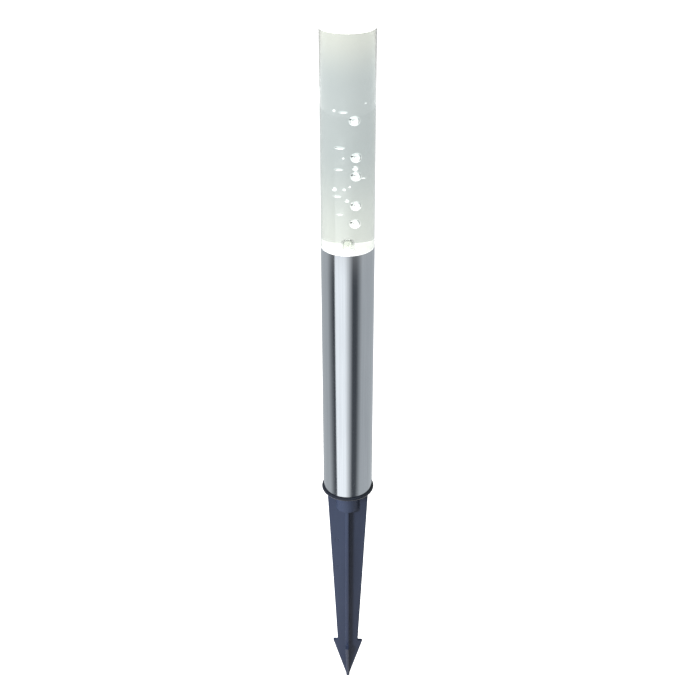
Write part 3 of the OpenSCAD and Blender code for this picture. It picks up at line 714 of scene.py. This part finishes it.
def rounded_plate(x0, x1, half_y, z0, z1, corner, ease_mm=0.12):
    """A plate that faces along X, with rounded corners and eased edges."""
    outline = []
    for sy, sz, start in ((1, 1, 0), (-1, 1, 90), (-1, -1, 180), (1, -1, 270)):
        middle_z = z1 - corner if sz > 0 else z0 + corner
        for k in range(6):
            a = radians(start + 18 * k)
            outline.append((sy * (half_y - corner), middle_z, corner * cos(a), corner * sin(a)))
    rings = []
    for x, cut in ((x0, ease_mm), (x0 + ease_mm, 0.0), (x1 - ease_mm, 0.0), (x1, ease_mm)):
        keep = (corner - cut) / corner
        rings.append([Vector((x, y + dy * keep, z + dz * keep)) * MM for y, z, dy, dz in outline])
    middles = [[sum(ring, Vector()) / len(ring)] for ring in (rings[0], rings[-1])]
    return loft([middles[0], *rings, middles[1]])


board_shape = rounded_plate(BOARD_BACK, BOARD_FACE, 12.0, BOARD_LOW, BOARD_HIGH, 1.2)
add_piece("control_board", "laminate", board_shape, [laminate])

# ----------------------------------------------------------------------
# Controller chip. A four-legged transfer-moulded package stood off the board on its leads, with a
# round mark beside its first leg.
chip_epoxy = Finish("chip_epoxy", IOR=1.5)
chip_grain = chip_epoxy.grain(3000, 3)
dot_side, dot_up = chip_epoxy.along[1] + 7.6 * MM, chip_epoxy.along[2] - 171.2 * MM
dot_out = (dot_side * dot_side + dot_up * dot_up) ** 0.5
chip_dot = 1.0 - chip_epoxy.rise(dot_out, 0.3 * MM, 0.36 * MM)
chip_tone = chip_epoxy.tint(chip_grain, (0.012, 0.012, 0.013), (0.03, 0.03, 0.032))
chip_epoxy.vary(Base_Color=chip_epoxy.tint(chip_dot, chip_tone, (0.35, 0.35, 0.35)),
                Roughness=0.45 + 0.25 * chip_grain, Normal=chip_epoxy.relief(chip_grain, 0.01))
chip_body = boxed((BOARD_FACE + 1.2, -8.6, 168.2), (BOARD_FACE + 3.0, -3.4, 172.2), 0.18)
chip_legs = []
for leg_y in [-7.9 + 1.27 * k for k in range(4)]:
    chip_legs.append(boxed((BOARD_FACE + 1.9, leg_y - 0.2, 166.6), (BOARD_FACE + 2.3, leg_y + 0.2, 168.4)))
    chip_legs.append(boxed((BOARD_FACE + 0.02, leg_y - 0.2, 166.6), (BOARD_FACE + 2.2, leg_y + 0.2, 167.0)))
add_piece("control_chip", "body", joined(chip_body, set_slot(joined(*chip_legs), 1)), [chip_epoxy, tinned])

# ----------------------------------------------------------------------
# Inductor, diode and resistors. Axial parts laid along the board with their wires bent down into
# it: a dipped choke, a moulded diode with its cathode band, and two film resistors with codes.


def swept(routes, thick_mm, finish, sides=12, samples=48):
    """Round wires that run smoothly through the given points."""
    seeds = bpy.data.meshes.new("wire_routes")
    points, edges = [], []
    for route in routes:
        edges += [(len(points) + k, len(points) + k + 1) for k in range(len(route) - 1)]
        points += [Vector(point) * MM for point in route]
    seeds.from_pydata(points, edges, [])
    wiring = Growth("wires", Thick=thick_mm * MM, Sides=sides, Samples=samples)
    run = wiring.node("GeometryNodeMeshToCurve", None, [wiring.given("Geometry")])
    run = wiring.node("GeometryNodeCurveSplineType", {"spline_type": "CATMULL_ROM"}, {"Curve": run})
    run = wiring.node("GeometryNodeResampleCurve", None, {"Curve": run, "Count": wiring.given("Samples")})
    skin = wiring.wire(run, wiring.given("Sides"), wiring.given("Thick"))
    return wiring.shape(skin, finish, seeds)


def axial_part(y, z, body_r, body_len, lead_len, waist):
    """A body of revolution standing off the board between two bent wires."""
    stand = BOARD_FACE + body_r + 0.3
    half, belly = body_len / 2, body_r * waist
    upper = [(belly, half * 0.45), (body_r, half * 0.6), (body_r, half - 0.4), (body_r * 0.8, half),
             (0, half)]
    profile = eased([(r, -up) for r, up in reversed(upper)] + upper, 0.25)
    bend, bent = half + lead_len - 0.3, half + lead_len
    path = [(stand, half - 0.3), (stand, (half + bend) / 2), (stand, bend), (stand - 0.3, bent),
            (BOARD_FACE + body_r * 0.6, bent), (BOARD_FACE + 0.05, bent)]
    wires = [[(x, y, z + s * up) for x, up in path] for s in (-1, 1)]
    return joined(turned(profile, 40, stand, y, z), set_slot(swept(wires, 0.28, tinned, 10, 24), 1))


def banded(finish, z_mm, bands, under):
    """Paints rings round an upright part: (offset, half width, colour)."""
    tone = under
    for offset, half, colour in bands:
        gap = abs(finish.along[2] - (z_mm + offset) * MM)
        tone = finish.tint(1.0 - finish.rise(gap, (half - 0.03) * MM, (half + 0.03) * MM), tone, colour)
    return tone


choke = Finish("dipped_choke", IOR=1.5, Coat_Weight=0.3)
choke_tone = choke.mottle(800, (0.04, 0.16, 0.07), (0.07, 0.24, 0.11))
BROWN, BLACK, RED, GOLD = (0.25, 0.09, 0.03), (0.01, 0.01, 0.01), (0.5, 0.03, 0.02), (0.6, 0.42, 0.1)
CHOKE_Z, DIODE_Z, RESISTOR_Z = 163.2, 149.2, 158.7
choke_bands = [(-1.2, 0.3, BROWN), (0.0, 0.3, BLACK), (1.2, 0.3, RED)]
choke.vary(Base_Color=banded(choke, CHOKE_Z, choke_bands, choke_tone),
           Roughness=0.3 + 0.2 * choke.grain(500, 2), Normal=choke.relief(choke.grain(1500, 2), 0.03))
add_piece("inductor", "dipped", axial_part(6.0, CHOKE_Z, 1.8, 9.0, 2.0, 0.94), [choke, tinned])
diode_black = Finish("diode_moulding", IOR=1.5)
diode_cloud = diode_black.grain(900, 3)
diode_tone = diode_black.tint(diode_cloud, (0.012, 0.012, 0.013), (0.03, 0.03, 0.03))
diode_black.vary(Base_Color=banded(diode_black, DIODE_Z, [(1.7, 0.35, (0.55, 0.56, 0.57))], diode_tone),
                 Roughness=0.35 + 0.25 * diode_cloud)
add_piece("diode", "moulded", axial_part(5.5, DIODE_Z, 1.3, 5.0, 1.5, 1.0), [diode_black, tinned])
film = Finish("resistor_lacquer", IOR=1.5, Coat_Weight=0.3)
film_tone = film.mottle(900, (0.50, 0.36, 0.20), (0.60, 0.45, 0.27))
film_bands = [(-1.2, 0.16, (0.22, 0.08, 0.03)), (-0.55, 0.16, BLACK), (0.1, 0.16, RED), (1.1, 0.16, GOLD)]
film.vary(Base_Color=banded(film, RESISTOR_Z, film_bands, film_tone),
          Roughness=0.35 + 0.2 * film.grain(700, 2))
add_piece("resistors", "film", joined(*[axial_part(y, RESISTOR_Z, 0.9, 3.6, 1.5, 0.9) for y in (-8.0, -3.6)]),
          [film, tinned])

# ----------------------------------------------------------------------
# Capacitor. An electrolytic can lying on its side wires: crimped aluminium in a dark blue shrink
# sleeve with a pale polarity stripe, its bare end scored so that it can vent.
CAN_Y, CAN_Z = -6.0, 152.2
can_sleeve = Finish("capacitor_sleeve", IOR=1.5)
can_end = can_sleeve.rise(can_sleeve.along[0], (BOARD_FACE + 6.42) * MM, (BOARD_FACE + 6.46) * MM)
can_stripe = can_sleeve.rise(can_sleeve.along[2], (CAN_Z + 1.5) * MM, (CAN_Z + 1.6) * MM)
can_tone = can_sleeve.mottle(500, (0.010, 0.014, 0.06), (0.018, 0.025, 0.09), 2)
can_tone = can_sleeve.tint(can_stripe, can_tone, (0.55, 0.57, 0.6))
score_y, score_z = [can_sleeve.rise(abs(can_sleeve.along[axis] - middle * MM), 0.05 * MM, 0.15 * MM)
                    for axis, middle in ((1, CAN_Y), (2, CAN_Z))]
score = 2.0 - (score_y + score_z)
can_sleeve.vary(Base_Color=can_sleeve.tint(can_end, can_tone, (0.62, 0.63, 0.64)), Metallic=can_end,
                Roughness=0.32 + 0.15 * can_sleeve.grain(700, 2),
                Normal=can_sleeve.relief(-0.6 * can_end * score, 0.08))
can_shape = turned(eased([(0, 0.4), (2.3, 0.4), (2.5, 0.7), (2.5, 1.1), (2.25, 1.3), (2.25, 1.5), (2.5, 1.7),
                          (2.5, 6.2), (2.2, 6.48), (0, 6.48)], 0.15), 56)
can_wires = [boxed((s - 0.25, -0.25, 0.03), (s + 0.25, 0.25, 0.6)) for s in (-1, 1)]
can_place = Matrix.Translation(Vector((BOARD_FACE, CAN_Y, CAN_Z)) * MM) @ Matrix.Rotation(pi / 2, 4, "Y")
add_piece("capacitor", "can", turn_to(joined(can_shape, set_slot(joined(*can_wires), 1)), can_place),
          [can_sleeve, tinned])

# ----------------------------------------------------------------------
# Switch and contacts. A folded nickel shell with the slide inside it, and brass pressings: a disc
# that the cell's nub touches and a strip whose finger wipes the cap's washer.
nickel = clouded("nickel_shell", 800, (0.52, 0.51, 0.48), (0.64, 0.63, 0.60), 0.2, 0.2, stretch=(1, 0.2, 1),
                 Metallic=1.0)
soften("slide_switch", nickel, 0.12)
brass = clouded("spring_brass", 700, (0.66, 0.47, 0.20), (0.80, 0.60, 0.29), 0.22, 0.22, 0.01, Metallic=1.0)
soften("positive_contact", brass, 0.08)
soften("negative_contact", brass, 0.06)
knob_shape = joined(boxed((8.1, 0.1, 129.2), (9.9, 1.9, 130.0), 0.12),
                    boxed((8.2, 0.2, 122.2), (9.8, 1.8, 129.3), 0.25))
add_piece("switch_knob", "moulding", knob_shape, [chip_epoxy], "switch_knob")

# ----------------------------------------------------------------------
# Leads. Stranded copper in PVC, in pairs: red and black from the solar cells and from the battery
# contacts, yellow and white to the lamp. Each is soldered flat to its pad and left a little slack.


def lead_finish(name, tone_low, tone_high, split_mm):
    pvc = Finish(name, IOR=1.5, Coat_Weight=0.1)
    dust = 0.12 * pvc.grain(900, 2)
    half = pvc.rise(pvc.along[1], (split_mm - 0.02) * MM, (split_mm + 0.02) * MM)
    pvc.vary(Base_Color=pvc.tint(dust, pvc.tint(half, tone_low, tone_high), (0.4, 0.4, 0.4)),
             Roughness=0.35 + dust)
    return pvc


solar_pvc = lead_finish("solar_lead_pvc", (0.015, 0.015, 0.016), (0.50, 0.02, 0.02), 0.0)
lamp_pvc = lead_finish("lamp_lead_pvc", (0.75, 0.75, 0.72), (0.78, 0.50, 0.05), 0.0)
battery_pvc = Finish("battery_lead_pvc", IOR=1.5)
battery_half = battery_pvc.rise(battery_pvc.along[2], 159 * MM, 161 * MM)
battery_pvc.vary(Base_Color=battery_pvc.tint(battery_half, (0.015, 0.015, 0.016), (0.50, 0.02, 0.02)),
                 Roughness=0.35 + 0.15 * battery_pvc.grain(900, 2))
solar_routes = [[(9.6, s * 1.2, 197.2), (9.6, s * 1.2, 191.2), (9.6, s * 1.4, 186.2), (10.4, s * 4, 185.2),
                 (10.2, s * 7, 182.2), (9, s * 8.5, 181.2), (7.15, s * 8.6, 181.2)] for s in (-1, 1)]
lamp_routes = [[(8, s * 1.2, 197.2), (8, s * 1.2, 191.2), (8.6, s * 1.2, 186.2), (10, s * 1.6, 181.7),
                (10, s * 2.8, 178.2), (9, s * 3.4, 176.7), (7.15, s * 3.5, 176.7)] for s in (-1, 1)]
battery_routes = [[(1.9, 1, 186.9), (2.4, 2.4, 183.9), (3, 5, 179.9), (4, 6.8, 177.9), (5.45, 7, 177.7)],
                  [(2.35, 0.8, 136.8), (2.7, 2.6, 139.1), (3, 5, 143.3), (4, 6.8, 145.8), (5.45, 7, 146.0)]]
for name, routes, thick, pvc in [("solar_leads", solar_routes, 0.55, solar_pvc),
                                 ("led_leads", lamp_routes, 0.55, lamp_pvc),
                                 ("battery_leads", battery_routes, 0.6, battery_pvc)]:
    add_piece(name, "pvc", swept(routes, thick, pvc), [pvc])

# ----------------------------------------------------------------------
# Battery tray. A one-cell AA nickel-hydride battery in a green shrink sleeve, on a nickel-plated
# conical spring that a coin-slotted cap pushes home; a washer staked to the cap closes the circuit.
CELL_X, CELL_FOOT, CELL_TOP, SPRING_FOOT = -7.5, 137.2, 185.9, 130.56
can_metal = clouded("nickel_plated_can", 500, (0.55, 0.55, 0.54), (0.68, 0.68, 0.66), 0.2, 0.2, Metallic=1.0)
cell_crown = [(7.1, -3.2), (6.7, -2.9), (6.7, -2.4), (7.1, -2.1), (7.1, -0.35), (6.5, 0), (2.9, -0.1),
              (2.7, 0.1), (2.6, 1.18), (0, 1.18)]
cell_profile = eased([(0, CELL_FOOT), (6.3, CELL_FOOT), (7.1, CELL_FOOT + 0.7)]
                     + [(r, CELL_TOP + up) for r, up in cell_crown], 0.25)
add_piece("battery_cell", "can", turned(cell_profile, 72, x=CELL_X), [can_metal],
          "battery_tray")
wrap = Finish("shrink_wrap", IOR=1.5, Coat_Weight=0.4, Coat_Roughness=0.15)
wrap_tone = wrap.mottle(200, (0.008, 0.11, 0.03), (0.014, 0.15, 0.045))
PALE_PRINT, DARK_PRINT, WRAP_MIDDLE = (0.62, 0.64, 0.62), (0.02, 0.02, 0.02), 161.5
wrap_bands = [(17.0, 2.2, PALE_PRINT), (13.6, 0.5, PALE_PRINT), (-19.5, 1.2, DARK_PRINT)]
wrap.vary(Base_Color=banded(wrap, WRAP_MIDDLE, wrap_bands, wrap_tone),
          Roughness=0.22 + 0.15 * wrap.grain(300, 3),
          Normal=wrap.relief(wrap.grain(150, 3, (1, 1, 0.3)), 0.05))
add_piece("cell_sleeve", "wrap", collar(7.12, 7.25, CELL_FOOT + 0.6, CELL_TOP, 0.05, 72, CELL_X), [wrap],
          "battery_tray")
add_piece("cap_washer", "pressing", collar(1.85, 7.4, 129.8, 130.2, 0.08, 64, CELL_X), [tinned],
          "battery_tray")
soften("battery_cap", carrier_plastic, 0.2)
spring_plate = clouded("spring_plating", 900, (0.58, 0.58, 0.57), (0.72, 0.72, 0.70), 0.2, 0.15, Metallic=1.0)
coil = Growth("conical_spring", Rotations=4.5, Start=4.8 * MM, End=2.8 * MM, Height=6.26 * MM,
              Thick=0.35 * MM)
coil_path = coil.node("GeometryNodeCurveSpiral", None,
                      {"Resolution": 48, "Rotations": coil.given("Rotations"), "Height": coil.given("Height"),
                       "Start Radius": coil.given("Start"), "End Radius": coil.given("End")})
coil_set = coil.node("GeometryNodeTransform", None,
                     {"Geometry": coil.wire(coil_path, 12, coil.given("Thick")),
                      "Translation": (CELL_X * MM, 0, SPRING_FOOT * MM)})
add_piece("battery_spring", "coil", coil.shape(coil_set, spring_plate), [spring_plate],
          "battery_tray")

# ----------------------------------------------------------------------
# Studio: a plain pale floor under the spike's point, a soft even sky, a key light from the front
# left, and upright cards round the tube that only polished surfaces see.
FLOOR_Z = -0.2054
CAMERA_TURN, CAMERA_DIP = radians(3.3), radians(29.24)
CAMERA_BACK, CAMERA_UP, CAMERA_LENS = 0.7197, 0.5284, 57.8

floor_paint = Finish("floor_paint", Roughness=0.9, Specular_IOR_Level=0.1, Emission_Color=(1, 1, 1),
                     Emission_Strength=0.84)
floor_paint.vary(Base_Color=floor_paint.mottle(3, (0.30, 0.30, 0.30), (0.32, 0.32, 0.32), 2))
floor_mesh = bpy.data.meshes.new("floor")
floor_mesh.from_pydata([(-9, -9, FLOOR_Z), (9, -9, FLOOR_Z), (9, 9, FLOOR_Z), (-9, 9, FLOOR_Z)], [],
                       [(0, 1, 2, 3)])
floor_mesh.materials.append(floor_paint.material)
floor = put_in_scene("floor", floor_mesh)

CARD_R, CARD_TOP, CARD_STEPS = 0.17, 0.26, 120
surround = bpy.data.materials.new("card_surround")
surround.use_nodes = True
cards = Nodes(surround.node_tree)
cards.tree.nodes.clear()
card_x, card_y, card_z = cards.parts(cards.node("ShaderNodeTexCoord", out="Object"))
card_turn = cards.math("ARCTAN2", card_x, -1.0 * card_y) - CAMERA_TURN
grey, dark, bright = (0.60, 0.635, 0.665), (0.09, 0.10, 0.115), (1.5, 1.55, 1.6)
# Going round from the back: a black flag, grey card, a black flag, the white card in front and to the left,
# a black flag on its right, grey card, and the back flag again.
TURNS = [(-180, dark), (-166, dark), (-158, grey), (-92, grey), (-62, dark), (-55, dark), (-51, bright),
         (-12, bright), (20, dark), (36, dark), (60, grey), (158, grey), (166, dark), (180, dark)]


def blend(mask, off, on):
    return cards.node("ShaderNodeMix", {"data_type": "VECTOR"}, {0: mask, 4: off, 5: on}, out=1)


colour = cards.node("ShaderNodeCombineXYZ", None, dark)
for (turn_a, _), (turn_b, tone_b) in zip(TURNS, TURNS[1:]):
    step = cards.node("ShaderNodeMapRange", None, {"Value": card_turn, "From Min": radians(turn_a),
                                                   "From Max": radians(turn_b)})
    colour = blend(step, colour, tone_b)
colour = blend(cards.rise(card_z, 0.13, CARD_TOP), colour, (0.8, 0.8, 0.8))
glow = cards.node("ShaderNodeEmission", None, {"Color": colour, "Strength": 1.0})
card_end = cards.tree.nodes.new("ShaderNodeOutputMaterial")
cards.tree.links.new(glow.socket, card_end.inputs["Surface"])
card_mesh = bpy.data.meshes.new("card_surround")
card_turns = [tau * k / CARD_STEPS + CAMERA_TURN for k in range(CARD_STEPS)]
card_mesh.from_pydata([(CARD_R * sin(a), -CARD_R * cos(a), z) for a in card_turns
                       for z in (FLOOR_Z + 0.001, CARD_TOP)], [],
                      [(2 * k, 2 * k + 1, (2 * k + 3) % (2 * CARD_STEPS), (2 * k + 2) % (2 * CARD_STEPS))
                       for k in range(CARD_STEPS)])
card_mesh.materials.append(surround)
card_ring = put_in_scene("card_surround", card_mesh)
card_ring.visible_camera = card_ring.visible_diffuse = card_ring.visible_shadow = False
card_ring.visible_transmission = False

world = bpy.data.worlds.new("studio_sky")
bpy.context.scene.world = world
world.use_nodes = True
world.node_tree.nodes["Background"].inputs["Color"].default_value = (1, 1, 1, 1)
world.node_tree.nodes["Background"].inputs["Strength"].default_value = 1.0


def soft_light(name, place, aim, size, power):
    lamp = bpy.data.lights.new(name, "AREA")
    lamp.shape, lamp.size, lamp.energy = "DISK", size, power
    holder = put_in_scene(name, lamp)
    holder.location = place
    holder.visible_transmission = holder.visible_glossy = False
    holder.rotation_euler = (Vector(aim) - Vector(place)).to_track_quat("-Z", "Y").to_euler()


soft_light("key_light", (-0.62, -1.16, 0.75), (0, 0, -0.06), 0.35, 52)
soft_light("side_light", (-1.15, -0.58, 0.75), (0, 0, -0.06), 0.6, 70)

bpy.context.scene.view_settings.view_transform = "Standard"
camera = put_in_scene("camera", bpy.data.cameras.new("camera"))
bpy.context.scene.camera = camera
camera.data.lens, camera.data.sensor_width, camera.data.shift_x = CAMERA_LENS, 36.0, 0.0003
camera.data.clip_start, camera.data.clip_end = 0.01, 50.0
camera.location = (CAMERA_BACK * sin(CAMERA_TURN), -CAMERA_BACK * cos(CAMERA_TURN), CAMERA_UP)
look = Vector((-sin(CAMERA_TURN) * cos(CAMERA_DIP), cos(CAMERA_TURN) * cos(CAMERA_DIP),
               -sin(CAMERA_DIP)))
camera.rotation_mode = "QUATERNION"
camera.rotation_quaternion = look.to_track_quat("-Z", "Y")
